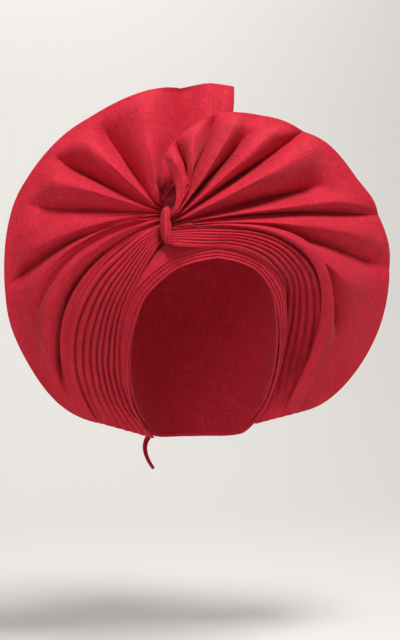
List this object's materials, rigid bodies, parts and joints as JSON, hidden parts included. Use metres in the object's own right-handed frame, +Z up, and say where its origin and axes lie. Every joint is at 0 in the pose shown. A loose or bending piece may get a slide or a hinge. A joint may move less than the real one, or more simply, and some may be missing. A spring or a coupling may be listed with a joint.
{
  "type": "gele head tie",
  "caption": "Tied gele head wrap: red cloth wound round the head, knotted over one temple and opened into two large pleated fans that ring the face.",
  "frame": {"origin": "centre of the head that wears it, at the height of the head's widest girth", "axes": "+Z up through the crown, -Y the way the face looks, +X to the right of someone facing the wearer"},
  "size_m": [0.3404, 0.192, 0.3376],
  "materials": {
    "cloth": "matte plain weave, lightly stiffened"
  },
  "bodies": {
    "root": {"crown_wrap": "cloth", "forehead_band": "cloth", "left_pleats": "cloth", "left_fan": "cloth", "right_pleats": "cloth", "right_fan": "cloth", "knot": "cloth", "nape_knot": "cloth", "nape_tail": "cloth"}
  },
  "joints": []
}
